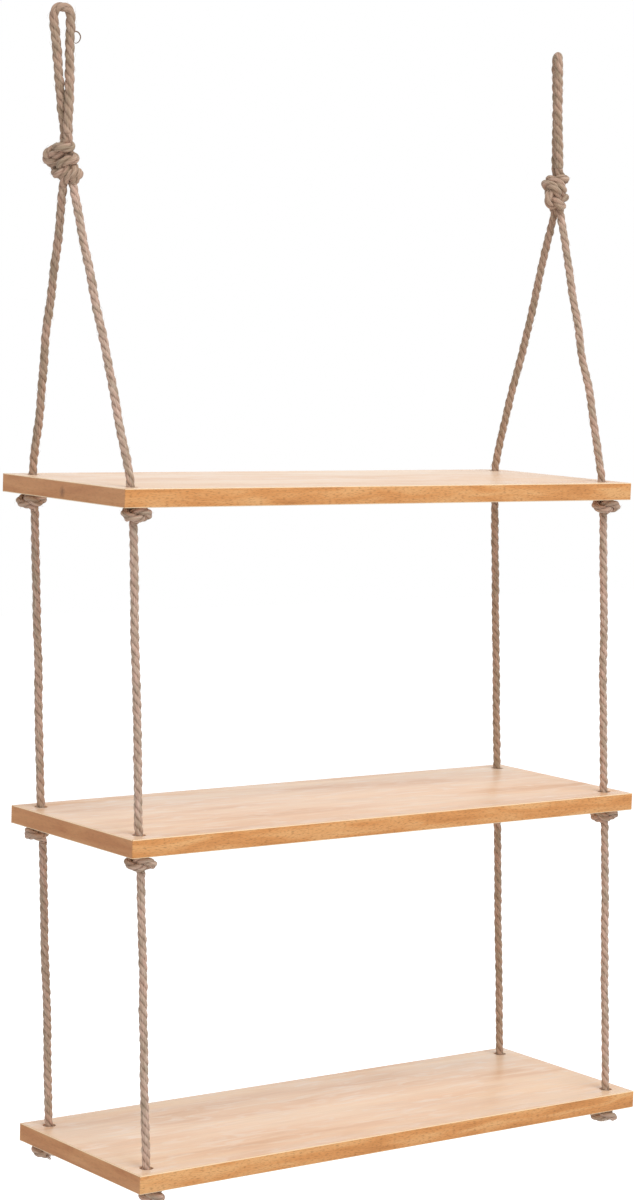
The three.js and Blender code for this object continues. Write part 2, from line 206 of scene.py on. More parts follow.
def jute_rope_material():
    """Laid jute: dull tan fibre with pale and brown yarns, and painted shade where the strands meet. Its
    patterns have sizes across and along the rope, as the UV map lies. Single fibres are too fine to show,
    so they are drawn 0.3 mm wide."""
    made, tree, shader = new_material("laid_jute_rope")
    place = add_node(tree, "ShaderNodeUVMap", {}, uv_map="lay")

    def streaks(size, detail):
        scale = (1 / size[0], 1 / size[1], 1)
        mapped = add_node(tree, "ShaderNodeMapping", {"Vector": place.outputs[0], "Scale": scale})
        inputs = {"Vector": mapped.outputs[0], "Scale": 1, "Detail": detail}
        return add_node(tree, "ShaderNodeTexNoise", inputs)

    yarn = streaks(yarn_size, 2)
    fibre = streaks(fibre_size, 3)
    patch = streaks(patch_size, 2)
    crease = add_node(tree, "ShaderNodeAttribute", {}, attribute_name="crease")
    darkening = add_node(tree, "ShaderNodeAttribute", {}, attribute_name="darkening")

    yarn_colour = add_node(tree, "ShaderNodeValToRGB", {"Fac": yarn.outputs[0]})
    stops = yarn_colour.color_ramp.elements
    stops[0].position, stops[0].color = yarn_stops[0], linear(jute_dark)
    stops[1].position, stops[1].color = yarn_stops[2], linear(jute_light)
    stops.new(yarn_stops[1]).color = linear(jute_middle)
    tint = add_node(tree, "ShaderNodeValToRGB", {"Fac": patch.outputs[0]})
    stops = tint.color_ramp.elements
    stops[0].position, stops[0].color = tint_stops[0], linear(jute_olive)
    stops[1].position, stops[1].color = tint_stops[2], linear(jute_pink)
    stops.new(tint_stops[1]).color = linear(jute_middle)
    tinted = add_node(
        tree, "ShaderNodeMix",
        {"Factor": tint_share, "A": yarn_colour.outputs[0], "B": tint.outputs[0]}, data_type="RGBA",
    )
    fibre_shade = add_node(tree, "ShaderNodeMapRange", {
        "Value": fibre.outputs[0], "From Min": shade_range[0], "From Max": shade_range[1],
        "To Min": fibre_shades[0], "To Max": fibre_shades[1],
    })
    patch_shade = add_node(tree, "ShaderNodeMapRange", {
        "Value": patch.outputs[0], "From Min": shade_range[0], "From Max": shade_range[1],
        "To Min": patch_shades[0], "To Max": patch_shades[1],
    })
    shade = add_node(
        tree, "ShaderNodeMath", {0: fibre_shade.outputs[0], 1: patch_shade.outputs[0]},
        operation="MULTIPLY",
    )
    shaded = add_node(
        tree, "ShaderNodeVectorMath", {0: tinted.outputs["Result"], "Scale": shade.outputs[0]},
        operation="SCALE",
    )
    # Darkens whole pieces by the darkening attribute: painted shade on the rear ropes and legs, and a
    # darker tone on the loops, their knots and the stop knots.
    darkened = add_node(
        tree, "ShaderNodeMix",
        {"Factor": darkening.outputs["Fac"], "A": shaded.outputs[0], "B": linear(darkening_tint)},
        data_type="RGBA", blend_type="MULTIPLY",
    )
    # Painted shade: the crease colour is mixed in where the strands meet, less where the yarn fills the
    # crease.
    deepest = add_node(tree, "ShaderNodeMapRange", {
        "Value": yarn.outputs[0], "From Min": filling_range[0], "From Max": filling_range[1],
        "To Min": filled_depths[0], "To Max": filled_depths[1],
    })
    depth = add_node(tree, "ShaderNodeMapRange", {
        "Value": crease.outputs["Fac"], "From Min": crease_range[0], "From Max": crease_range[1],
        "To Max": deepest.outputs[0],
    })
    colour = add_node(
        tree, "ShaderNodeMix",
        {"Factor": depth.outputs[0], "A": darkened.outputs["Result"], "B": linear(jute_crease_shade)},
        data_type="RGBA",
    )
    tree.links.new(colour.outputs["Result"], shader.inputs["Base Color"])
    shader.inputs["Roughness"].default_value = jute_roughness
    shader.inputs["Specular IOR Level"].default_value = jute_gloss
    shader.inputs["Sheen Weight"].default_value = jute_sheen
    height = add_node(
        tree, "ShaderNodeMath", {0: yarn.outputs[0], 1: fibre.outputs[0]}, operation="ADD"
    )
    bump = add_node(tree, "ShaderNodeBump", {
        "Height": height.outputs[0], "Strength": jute_bump_strength, "Distance": jute_bump_depth * mm,
    })
    tree.links.new(bump.outputs[0], shader.inputs["Normal"])
    return made


jute = jute_rope_material()


def unit(v):
    """The vectors at a length of 1."""
    return v / np.linalg.norm(v, axis=-1, keepdims=True)


def lengths_along(line):
    """The length of a line up to each of its points."""
    return np.concatenate([[0], np.cumsum(np.linalg.norm(np.diff(line, axis=0), axis=1))])


def smooth_line(points, spacing=None, count=None):
    """Evenly spaced points on the smooth curve through the given ones."""
    p = np.asarray(points, float)
    p = np.vstack([2 * p[0] - p[1], p, 2 * p[-1] - p[-2]])
    spans = np.sqrt(np.linalg.norm(np.diff(p, axis=0), axis=1))
    t = np.linspace(0, 1, curve_steps + 1)[:-1, None]
    fine = []
    for i in range(1, len(p) - 2):
        before, here, after = spans[i - 1:i + 2]
        a, b, c, d = p[i - 1:i + 3]
        leave = ((b - a) / before - (c - a) / (before + here) + (c - b) / here) * here
        arrive = ((c - b) / here - (d - b) / (here + after) + (d - c) / after) * here
        squared = 3 * (c - b) - 2 * leave - arrive
        cubed = 2 * (b - c) + leave + arrive
        fine.append(b + leave * t + squared * t**2 + cubed * t**3)
    fine = np.vstack(fine + [p[-2:-1]])
    along = lengths_along(fine)
    count = count or max(2, round(along[-1] / spacing))
    at = np.linspace(0, along[-1], count + 1)
    return np.stack([np.interp(at, along, fine[:, k]) for k in range(3)], axis=1)


def tube_faces(rings, columns):
    """The faces of a tube made of rings of points, and of its two ends."""
    faces = []
    for i in range(rings - 1):
        for j in range(columns):
            a, b = i * columns + j, i * columns + (j + 1) % columns
            faces.append((a, b, b + columns, a + columns))
    last = (rings - 1) * columns
    return faces + [tuple(range(columns))[::-1], tuple(range(last, last + columns))]


def add_spike(points, faces, middles, tip, out, aside, radii):
    """Adds a fibre that tapers to its tip, with a small ring round each of its middles."""
    first = len(points)
    for middle, radius in zip(middles, radii):
        for s in range(spike_sides):
            angle = 2 * math.pi * s / spike_sides
            points.append(middle + (out * math.cos(angle) + aside * math.sin(angle)) * radius)
    points.append(tip)
    for ring in range(spike_rings):
        start = first + ring * spike_sides
        for s in range(spike_sides):
            a, b = start + s, start + (s + 1) % spike_sides
            over = (b + spike_sides, a + spike_sides) if ring + 1 < spike_rings else (start + spike_sides,)
            faces.append((a, b, *over))
    faces.append(tuple(range(first, first + spike_sides))[::-1])


def hairs_from(draw, line, rings, tangents, reach):
    """Short loose fibres that stand off the rope, with the ring and the column that each grows from."""
    points, faces, roots = [], [], []
    for _ in range(int(hairs_per_millimetre * lengths_along(line)[-1])):
        ring = draw.randrange(hair_end_rings, len(rings) - hair_end_rings)
        column = draw.randrange(rings.shape[1])
        root = rings[ring, column]
        out = unit(root - line[ring])
        along = tangents[ring] * draw.choice((-1, 1))
        aside = np.cross(out, along)
        length = draw.uniform(*hair_lengths)
        height = draw.uniform(hair_least_reach, reach)
        drift = draw.uniform(-hair_drift, hair_drift)
        radius = draw.uniform(*hair_radii)

        def middle(t, sink=hair_sink):
            rise = height * math.sin(t * hair_arch) - sink
            return root + along * length * t + out * rise + aside * drift * t * t

        add_spike(
            points, faces, [middle(t) for t in spike_shares], middle(1, 0), out, aside,
            [radius * (1 - hair_taper_share * t) for t in spike_shares],
        )
        roots.append((ring, column))
    return points, faces, roots


def add_jute(name, points, faces, places=None, crease=0.0, darkening=0.0):
    """Adds a piece of jute, its points in millimetres. places gives where each corner of a face lies on
    the rope, crease how deep each point is between the strands, which sets its painted shade, and
    darkening how much darker it is drawn."""
    mesh = bpy.data.meshes.new(name)
    mesh.from_pydata((np.asarray(points) * mm).tolist(), [], faces)
    lay = mesh.uv_layers.new(name="lay")
    if places is not None:
        lay.data.foreach_set("uv", places.ravel())
    for attribute, value in (("crease", crease), ("darkening", darkening)):
        layer = mesh.attributes.new(attribute, "FLOAT", "POINT")
        layer.data.foreach_set("value", np.full(len(points), value))
    mesh.materials.append(jute)
    piece = bpy.data.objects.new(name, mesh)
    bpy.context.scene.collection.objects.link(piece)
    return piece


def lay_rope(name, route, mark, seed, widths=((0,), (rope_thickness,)), reach=hair_reach, darkening=0.0):
    """Lays the strands round a route in millimetres, and returns the piece, the mark at its end and its
    centre line. A mark points from the centre line to the first crease, so that stretches that follow
    each other join. widths gives the rope's thickness at some lengths along it."""
    draw = random.Random(seed)
    turn_length = rope_turn_length * draw.uniform(*turn_length_shares)
    line = smooth_line(route, ring_spacing)
    count = len(line)
    along = lengths_along(line)
    tangents = unit(np.gradient(line, axis=0))
    normals = np.empty_like(line)
    normal = np.asarray(mark, float)
    for i, tangent in enumerate(tangents):
        normal = unit(normal - tangent * (normal @ tangent))
        normals[i] = normal
    sides = np.cross(tangents, normals)

    wander = draw.uniform(0, phase_span)
    slow_swell = slow_swell_share * np.sin(along / slow_swell_length + wander)
    quick_swell = quick_swell_share * np.sin(along / quick_swell_length + 2 * wander)
    thickness = np.interp(along, *widths) * (1 + slow_swell + quick_swell)
    columns = strand_count * strand_points
    angle = 2 * np.pi * np.arange(columns) / columns
    from_top = angle % (2 * np.pi / strand_count) - np.pi / strand_count
    round_strand = np.sqrt(strand_radius_share**2 - (strand_reach_share * np.sin(from_top))**2)
    share = strand_reach_share * np.cos(from_top) + round_strand
    turned = angle - 2 * np.pi * along[:, None] / turn_length
    strand = np.arange(columns) // strand_points
    phase = along[:, None] / strand_swell_length + strand_swell_step * strand + wander
    swell = 1 + strand_swell_share * np.sin(phase) * np.cos(strand_count / 2 * from_top)
    radius = thickness[:, None] / 2 * share * swell
    rings = (
        line[:, None]
        + radius[..., None] * np.cos(turned)[..., None] * normals[:, None]
        + radius[..., None] * np.sin(turned)[..., None] * sides[:, None]
    )
    hairs, hair_faces, roots = hairs_from(draw, line, rings, tangents, reach)
    faces = tube_faces(count, columns) + [tuple(count * columns + k for k in face) for face in hair_faces]

    girth = np.pi * rope_thickness
    quad = ((0, 0), (0, 1), (1, 1), (1, 0))
    body_corners = (count - 1) * columns * len(quad)
    places = np.zeros((body_corners + 2 * columns, 2))
    ring = np.repeat(np.arange(count - 1), columns)
    column = np.tile(np.arange(columns), count - 1)
    for corner, (next_ring, next_column) in enumerate(quad):
        s = along[ring + next_ring]
        turns = (column + next_column) / columns
        places[corner:body_corners:len(quad)] = np.stack(
            [(turns - yarn_lean_share * s / turn_length) * girth, s + seed_shift * seed], axis=1
        )
    grown = [roots[k // spike_points] for face in hair_faces for k in face]
    hair_places = [(column * hair_shift, along[ring] + seed_shift * seed) for ring, column in grown]
    depth = np.tile((1 - share) / (1 - crease_share), count)
    rope = add_jute(
        name, np.vstack([rings.reshape(-1, 3), hairs]), faces, np.vstack([places, hair_places]),
        np.concatenate([depth, np.zeros(len(hairs))]), darkening,
    )
    rope.data.shade_smooth()
    last = unit(normals[-1] * math.cos(turned[-1, 0]) + sides[-1] * math.sin(turned[-1, 0]))
    return rope, last, line


# Boards' places
# The ropes hang from the loops and pass a hole near each corner of every board, so the boards' places,
# read from the frame in millimetres, give the ropes their lines.
hole_inset = 20.0
tiers = ("top", "middle", "bottom")
board_box = {}
corners = {
    "front_left": (0, 0),
    "rear_left": (0, 1),
    "front_right": (1, 0),
    "rear_right": (1, 1),
}


def node_box(name):
    """The low and the high corner of a node's box in millimetres."""
    return [np.array(corner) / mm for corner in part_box(name)]


for tier in tiers:
    low, high = node_box(f"{tier}_board_front_edge_band")
    _, rear = node_box(f"{tier}_board_rear_edge_band")
    board_box[tier] = (low, np.array((high[0], rear[1], high[2])))


def hole_place(tier, corner):
    """The centre of a hole, halfway through the board."""
    low, high = board_box[tier]
    right, rear = corners[corner]
    return np.array([
        high[0] - hole_inset if right else low[0] + hole_inset,
        high[1] - hole_inset if rear else low[1] + hole_inset,
        (low[2] + high[2]) / 2,
    ])


def rope_direction(upper, lower, corner):
    """The way up a rope, from a hole of the lower board to the hole above it."""
    return unit(hole_place(upper, corner) - hole_place(lower, corner))


# Tied knots
# Each knot is tied as a loose overhand and drawn up tight, so that the rope lies against itself as it
# does when it is pulled. Stop knots are single, and loop knots are tied in the doubled rope.
stop_spacing = 7.6
stop_half_length = 9.0
stop_half_height = 4.2
stop_end = 3.0
stop_press = 0.78
stop_segments = 36
loop_spacing = 7.2
loop_half_length = 20.0
loop_half_height = 16.0
loop_end = 4.0
loop_segments = 64
loop_side_spacing = 8.45
loop_press = 0.92
stop_loose_share = 1.65
stop_lead_share = 6
loop_loose_share = 3.0
loop_lead_share = 12
lead_side_share = 2.3
shoulder_share = 2.1
knot_reach = 2.6
loose_points = 80
slope_step = 0.01
shrink_share = 0.9985
tight_share = 1.15
ease_share = 1.015
bend_share = 0.05
pull_rounds = 400
ease_rounds = 120
passes_per_round = 6
near_margin = 0.6
other_rope_apart = 10**6
least_apart = 2


def loose_overhand(size, lead, offset):
    """A loose overhand knot about the X axis: in at +X and out at -X, offset to one side."""

    def at(t):
        return np.stack([
            np.sin(t) + 2 * np.sin(2 * t),
            np.cos(t) - 2 * np.cos(2 * t),
            -np.sin(3 * t),
        ], axis=-1)

    t = knot_reach * (2 * np.arange(loose_points + 1) / loose_points - 1)
    along = at(t + slope_step) - at(t - slope_step)
    outward = unit(np.stack([-along[:, 1], along[:, 0], np.zeros_like(t)], axis=-1))
    knot = at(t) * size + outward * offset
    side = -lead_side_share * size - offset
    shoulder = shoulder_share * size
    return np.vstack([
        [lead, side, 0], [shoulder, side, 0], knot, [-shoulder, side, 0], [-lead, side, 0]
    ])


def pull_tight(strands, ends, distance, half_height):
    """Draws a knot up: the strands get shorter while stretches of rope push each other off to the
    given distance, with their ends drawn to their places and their height kept."""
    count = len(strands[0])
    last = count - 1
    ropes = [[list(map(float, p)) for p in strand] for strand in strands]
    points = [p for rope in ropes for p in rope]
    which = np.repeat(np.arange(len(ropes)), count)
    index = np.tile(np.arange(count), len(ropes))
    apart = np.where(which[:, None] == which, index - index[:, None], other_rope_apart)
    order = np.arange(len(points))
    allowed = (order[:, None] < order) & (apart >= least_apart)
    held = [i in (0, last) for i in index]
    starts = [(np.array(rope[0]), np.array(rope[last])) for rope in ropes]
    segment = max(sum(math.dist(a, b) for a, b in zip(rope, rope[1:])) for rope in ropes) / last
    easing = 0
    turn = 0
    while easing < ease_rounds:
        drawn = min(1, turn / pull_rounds)
        for k, rope in enumerate(ropes):
            rope[0][:] = starts[k][0] + (ends[k][0] - starts[k][0]) * drawn
            rope[last][:] = starts[k][1] + (ends[k][1] - starts[k][1]) * drawn
        if easing:
            easing += 1
        else:
            segment *= shrink_share
        clear = distance * np.sin(np.minimum(apart * segment / distance, np.pi / 2))
        near = np.where(allowed, (clear + near_margin)**2, -1)
        for _ in range(passes_per_round):
            for rope in ropes:
                for i in range(1, last):
                    a, p, b = rope[i - 1], rope[i], rope[i + 1]
                    for c in range(3):
                        p[c] += ((a[c] + b[c]) * 0.5 - p[c]) * bend_share
                    if 1 < i < last - 1:
                        p[0] = min(max(p[0], -half_height), half_height)
                for i in range(last):
                    a, b = rope[i], rope[i + 1]
                    x, y, z = b[0] - a[0], b[1] - a[1], b[2] - a[2]
                    length = math.sqrt(x * x + y * y + z * z)
                    pull = (length - segment) / length / 2
                    if i > 0:
                        a[0] += x * pull
                        a[1] += y * pull
                        a[2] += z * pull
                    if i + 1 < last:
                        b[0] -= x * pull
                        b[1] -= y * pull
                        b[2] -= z * pull
            now = np.array(points)
            squares = (now**2).sum(1)
            far = squares[:, None] + squares[None, :] - 2 * now @ now.T
            for m, n in zip(*np.nonzero(far < near)):
                a, b = points[m], points[n]
                x, y, z = b[0] - a[0], b[1] - a[1], b[2] - a[2]
                length = math.sqrt(x * x + y * y + z * z)
                if length >= clear[m, n]:
                    continue
                push = (clear[m, n] - length) / length / 2
                if not held[m]:
                    a[0] -= x * push
                    a[1] -= y * push
                    a[2] -= z * push
                if not held[n]:
                    b[0] += x * push
                    b[1] += y * push
                    b[2] += z * push
        longest = max(math.dist(a, b) for rope in ropes for a, b in zip(rope, rope[1:]))
        if not easing and drawn == 1 and longest > tight_share * segment:
            easing = 1
            segment *= ease_share
        turn += 1
    return [np.array(rope) for rope in ropes]


def beside(along, aside, turn):
    """A place along the X axis and to one side of it, turned about it."""
    return np.array([along, aside * math.cos(turn), aside * math.sin(turn)])


def tie_stop_knot():
    """The line of a stop knot pressed flat by its board, with straight ends along X."""
    loose = loose_overhand(stop_loose_share * stop_spacing, stop_lead_share * stop_spacing, 0)
    ends = [(beside(stop_half_length, 0, 0), beside(-stop_half_length, 0, 0))]
    loose = [smooth_line(loose, count=stop_segments)]
    [tied] = pull_tight(loose, ends, stop_spacing, stop_half_height)
    tied = tied * (stop_press, 1, 1)
    return np.vstack([tied[0] + (stop_end, 0, 0), tied, tied[-1] - (stop_end, 0, 0)])


def tie_loop_knot(turn, exit_turn):
    """The two lines of a loop knot pressed tight. Its upper ends stand at a turn about X, and its lower
    ends a turn further."""
    size = loop_loose_share * loop_spacing
    lead = loop_lead_share * loop_spacing
    half = loop_side_spacing / 2
    loose = [loose_overhand(size, lead, s * loop_spacing / 2) for s in (1, -1)]
    ends = [
        (beside(loop_half_length, s * half, turn), beside(-loop_half_length, s * half, turn + exit_turn))
        for s in (-1, 1)
    ]
    loose = [smooth_line(line, count=loop_segments) for line in loose]
    return [line * loop_press for line in pull_tight(loose, ends, loop_spacing, loop_half_height)]


# Hanging loops and loop knots
# Each rope is folded in half and its fold is the loop that the shelf hangs by: two sides that lie
# together above the knot and open into a narrow eye. The knot is an overhand in the doubled rope.
loop_height = 107.1
eye_height = 61.0
eye_radius = 7.4
face_gap = 0.3
loop_turn = {"left": math.radians(-32), "right": math.radians(59)}
side_turn = {"left": math.radians(-70), "right": math.radians(15)}
loop_lean = {"left": -0.073, "right": -0.056}
loop_knot_turn = {"left": math.radians(165), "right": math.radians(225)}
leg_exit_turn = {"left": math.radians(70), "right": math.radians(-165)}
side_shares = ((0, 1), (0.1, 1), (0.4, 2 / 3), (0.7, 1 / 3))
eye_shares = ((0, 1 / 6), (1 / 2, 1 / 2))
crown_angles = (90, 60, 30, 0)
knot_mouth = 5.0
knot_rope_thickness = 8.4
loop_thickness = 8.8
# The loops and their knots are drawn darker.
loop_darkening = 1.0
loop_knot_darkening = 0.9
loop_knot_hair_reach = 1.2
loop_seed = {"left": 11, "right": 12}
first_loop_knot_seed = 21
stray_curl = (
    (-20.5, 7.0), (-17.8, 10.4), (-18.6, 13.6), (-22.2, 15.6), (-26.2, 14.4), (-28.2, 11.6), (-27.4, 9.2)
)
stray_curl_depth = 0.5
stray_thickness = 1.3
stray_spacing = 0.8
stray_sides = 6
stray_taper_share = 0.6
stray_side_hint = (0.6, 0.8, 0.1)
mouth_share = 0.25
seats = {mount["name"]: np.array(mount["pos_m"]) / mm for mount in frame["record"]["mounts"]}
leg_tops = {}
leg_mouths = {}
for corner in corners:
    direction = rope_direction("top", "middle", corner)
    hole = hole_place("top", corner)
    height = board_box["top"][1][2] + rope_thickness * mouth_share
    leg_mouths[corner] = hole + direction * ((height - hole[2]) / direction[2])


def lay_fibre(name, route):
    """One stray fibre that has sprung out of the rope, round a route in millimetres."""
    line = smooth_line(route, stray_spacing)
    tangents = unit(np.gradient(line, axis=0))
    out = unit(np.cross(tangents, stray_side_hint))
    aside = np.cross(tangents, out)
    angle = 2 * np.pi * np.arange(stray_sides) / stray_sides
    radius = stray_thickness / 2 * (1 - stray_taper_share * np.linspace(0, 1, len(line))**2)
    rings = line[:, None] + radius[:, None, None] * (
        np.cos(angle)[:, None] * out[:, None] + np.sin(angle)[:, None] * aside[:, None]
    )
    faces = tube_faces(len(line), stray_sides)
    fibre = add_jute(name, rings.reshape(-1, 3), faces, crease=1.0, darkening=1.0)
    fibre.data.shade_smooth()
    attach(fibre, "root")


for side in ("left", "right"):
    up = unit(np.array([loop_lean[side], 0, 1]))
    flat = np.array([math.cos(loop_turn[side]), math.sin(loop_turn[side]), 0])
    across = unit(flat - up * (flat @ up))
    through = np.cross(up, across)
    axes = np.stack([up, across, through])
    seat = seats[f"{side}_hook_seat"]

    crown = loop_height + rope_thickness / 2
    half = loop_side_spacing / 2
    eye_foot = crown - eye_height
    eye_centre = crown - eye_radius
    rise = [(eye_foot * share, half, side_turn[side] * turn_share) for share, turn_share in side_shares]
    rise += [
        (eye_foot + (eye_centre - eye_foot) * up_share, half + (eye_radius - half) * out_share, 0)
        for up_share, out_share in eye_shares
    ]
    rise += [
        (eye_centre + eye_radius * math.cos(math.radians(a)), eye_radius * math.sin(math.radians(a)), 0)
        for a in crown_angles
    ]
    outline = rise + [(height, -wide, turn) for height, wide, turn in rise[-2::-1]]
    route = [beside(height - loop_height, wide, turn) for height, wide, turn in outline]
    route = np.array(route) @ axes + seat
    loop, mark, _ = lay_rope(
        f"{side}_rope_loop", route, first_mark, loop_seed[side], ((0,), (loop_thickness,)),
        darkening=loop_darkening,
    )
    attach(loop, "root")
    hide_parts(f"{side}_hanging_loop")
    if side == "left":
        curl = np.array([(height, wide, stray_curl_depth) for height, wide in stray_curl])
        lay_fibre("left_loop_stray_fibre", curl @ axes + seat)

    spin = side_turn[side] - loop_knot_turn[side]
    turned = np.stack([
        up,
        across * math.cos(spin) + through * math.sin(spin),
        through * math.cos(spin) - across * math.sin(spin),
    ])
    centre = seat - up * (loop_height + face_gap + loop_half_length + loop_end)
    tied = tie_loop_knot(loop_knot_turn[side], leg_exit_turn[side])
    for strand, line, foot_mark, foot in (
        ("rear", tied[0], mark, route[-1]),
        ("front", tied[1], first_mark, route[0]),
    ):
        corner = f"{strand}_{side}"
        path = line @ turned + centre
        slope = unit(leg_mouths[corner] - path[-1])
        path = np.vstack([foot, path, path[-1] + slope * loop_end])
        length = lengths_along(path)[-1]
        widths = (
            [0, knot_mouth, length - knot_mouth, length],
            [loop_thickness, knot_rope_thickness, knot_rope_thickness, rope_thickness],
        )
        knot, end_mark, _ = lay_rope(
            f"{side}_loop_knot_{strand}_rope", path, foot_mark, first_loop_knot_seed + len(leg_tops),
            widths, loop_knot_hair_reach, loop_knot_darkening,
        )
        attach(knot, "root")
        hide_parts(f"{side}_loop_knot_{strand}_strand")
        leg_tops[corner] = (path[-1], end_mark)


# Stop knots, legs and ropes between the boards
# Under each board each leg of rope has an overhand stop knot that the board rests on. The rope's own
# turns aren't alike, so each knot is turned its own way, and each stretch of rope wavers a little.
stop_line = tie_stop_knot()
stop_turn = {
    "top": {"front_left": 180, "rear_left": 335, "front_right": 165, "rear_right": 100},
    "middle": {"front_left": 150, "rear_left": 70, "front_right": 310, "rear_right": 260},
    "bottom": {"front_left": 245, "rear_left": 345, "front_right": 115, "rear_right": 20},
}
exit_shift = {"front_left": 1.2, "rear_left": 1.2, "front_right": 1.0, "rear_right": 0.0}
exit_side = np.array([0.8, -0.6, 0])
hidden_end_points = 3
# Painted shade: the rear ropes and legs get less light, so they are drawn darker.
rope_painted_shade = {"front_left": 0.0, "rear_left": 0.3, "front_right": 0.1, "rear_right": 0.9}
leg_painted_shade = {"front_left": 0.0, "rear_left": 0.9, "front_right": 0.4, "rear_right": 1.0}
stop_darkening = 0.4
stop_hair_reach = 1.4
rope_hair_reach = 1.3
stop_mouth = 3.0
leg_waver = 0.8
rope_waver = 0.35
waver_spacing = 6.0
waver_start_share = 0.06
waver_length_share = 0.88
waver_turns = (1.5, 3.2, 4.9)
waver_fall = 0.6
leg_shares = (0.25, 0.5, 0.75)
hole_depth_share = 1 / 3
leg_waver_seed = 30
leg_seed = 40
top_knot_seed = 50
stretch_seed = {"upper": 60, "lower": 70}
stretch_rope_step = 20
stretch_knot_step = 40


def wavering(route, waver, seed):
    """The route with slow bends of a size in millimetres between its ends, as laid rope has."""
    draw = random.Random(seed)
    line = smooth_line(route, waver_spacing)
    s = np.linspace(0, 1, len(line))
    inner = np.clip((s - waver_start_share) / waver_length_share, 0, 1)
    window = np.sqrt(np.sin(np.pi * inner))
    for direction in ((1, 0, 0), (0, 1, 0)):
        bends = sum(
            waver_fall**k * np.sin(2 * np.pi * turns * s + draw.uniform(0, phase_span))
            for k, turns in enumerate(waver_turns)
        )
        line += np.outer(bends * window * waver, direction)
    return line


def place_stop_knot(tier, corner, direction):
    """The knot's line where its CAD node is: flat against the board, with its lower end to one side."""
    hole = hole_place(tier, corner)
    height = board_box[tier][0][2] - stop_press * stop_half_height - stop_spacing / 2
    centre = hole + direction * ((height - hole[2]) / direction[2])
    lift = Vector((1, 0, 0)).rotation_difference(Vector(direction)).to_matrix()
    spin = Matrix.Rotation(math.radians(stop_turn[tier][corner]), 3, "X")
    shift = np.clip(-stop_line[:, 0] / (stop_press * stop_half_length), 0, 1) * exit_shift[corner]
    return stop_line @ np.array(lift @ spin).T + centre + np.outer(shift, exit_side)


def lay_stop_knot(tier, corner, path, mark, body, seed):
    """Lays a stop knot on from the rope above it, and lets it ride with a body."""
    length = lengths_along(path)[-1]
    widths = (
        [0, stop_mouth, length - stop_mouth, length],
        [rope_thickness, stop_spacing, stop_spacing, rope_thickness],
    )
    knot, end_mark, _ = lay_rope(
        f"{tier}_{corner}_tied_knot", path, mark, seed, widths, stop_hair_reach, stop_darkening
    )
    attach(knot, body)
    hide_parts(f"{tier}_{corner}_stop_knot")
    return knot, end_mark


rope_ends = {}
for number, corner in enumerate(corners):
    upper = rope_direction("top", "middle", corner)
    lower = rope_direction("middle", "bottom", corner)
    top_path = place_stop_knot("top", corner, upper)
    middle_path = place_stop_knot("middle", corner, upper)
    bottom_path = place_stop_knot("bottom", corner, lower)

    start, mark = leg_tops[corner]
    mouth = leg_mouths[corner]
    low, high = board_box["top"]
    hole = hole_place("top", corner)
    within = hole + upper * ((high[2] - (high[2] - low[2]) * hole_depth_share - hole[2]) / upper[2])
    route = [start] + [start + (mouth - start) * share for share in leg_shares]
    route += [mouth + unit(start - mouth) * rope_thickness, within, top_path[0]]
    leg, mark, line = lay_rope(
        f"{corner}_rope_leg", wavering(route, leg_waver, leg_waver_seed + number), mark,
        leg_seed + number, darkening=leg_painted_shade[corner],
    )
    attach(leg, "root")
    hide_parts(f"{corner}_leg")
    knot, mark = lay_stop_knot("top", corner, top_path, mark, "root", top_knot_seed + number)

    for stretch, above, path, tier, bodies in (
        ("upper", top_path, middle_path, "middle", ("root", "middle_knots")),
        ("lower", middle_path, bottom_path, "bottom", ("middle_knots", "bottom_knots")),
    ):
        seed = stretch_seed[stretch] + number
        route = wavering([above[-1], (above[-1] + path[0]) / 2, path[0]], rope_waver, seed)
        rope, mark, line = lay_rope(
            f"{corner}_{stretch}_jute_rope", route, mark, seed + stretch_rope_step,
            reach=rope_hair_reach, darkening=rope_painted_shade[corner],
        )
        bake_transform(rope)
        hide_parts(f"{corner}_{stretch}_rope")
        end = path[:-hidden_end_points] if tier == "bottom" else path
        knot, mark = lay_stop_knot(tier, corner, end, mark, bodies[1], seed + stretch_knot_step)
    rope_ends[corner] = (end[-1], unit(end[-2] - end[-1]))


# Frayed ends
# Each leg of rope is cut off below its last knot and isn't whipped, so the strands open into a short
# brush of loose fibres.
fibres_per_end = 170
fray_length = 6.5
fray_length_shares = (0.4, 1)
fray_reach_share = 0.9
fray_spread = 1.3
fray_spread_shares = (0.3, 1.4)
fray_spread_change = 0.15
fray_radii = (0.14, 0.26)
fray_taper_share = 0.4
fray_root_depth = 1.0
fray_side_hint = (0.2, 1, 0)
fray_shift = 3.7
fray_shift_span = 50
fray_point_step = 0.3
first_fray_seed = 90


def fray(corner, end, direction, seed):
    """The brush at the end of a leg of rope, whose line runs up from there along the direction."""
    draw = random.Random(seed)
    down = -direction
    across = unit(np.cross(down, fray_side_hint))
    aside = np.cross(down, across)
    points, faces = [], []
    for _ in range(fibres_per_end):
        angle = draw.uniform(0, 2 * math.pi)
        out = across * math.cos(angle) + aside * math.sin(angle)
        place = rope_thickness / 2 * math.sqrt(draw.random()) * fray_reach_share
        length = fray_length * draw.uniform(*fray_length_shares)
        spread = fray_spread * place / (rope_thickness / 2) * draw.uniform(*fray_spread_shares)
        spread += draw.uniform(-fray_spread_change, fray_spread_change)
        radius = draw.uniform(*fray_radii)

        def middle(t, root_depth=0):
            return end + out * (place + spread * length * t * t) + down * (length * t - root_depth)

        add_spike(
            points, faces, [middle(0, fray_root_depth), *map(middle, spike_shares[1:])], middle(1),
            across, aside, [radius * (1 - fray_taper_share * t) for t in spike_shares],
        )
    fibre, point = np.divmod([k for face in faces for k in face], spike_points)
    places = np.stack([fibre * fray_shift % fray_shift_span, point * fray_point_step], axis=1)
    brush = add_jute(f"{corner}_frayed_end", points, faces, places)
    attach(brush, "bottom_knots")


for number, (corner, (end, direction)) in enumerate(rope_ends.items()):
    fray(corner, end, direction, first_fray_seed + number)


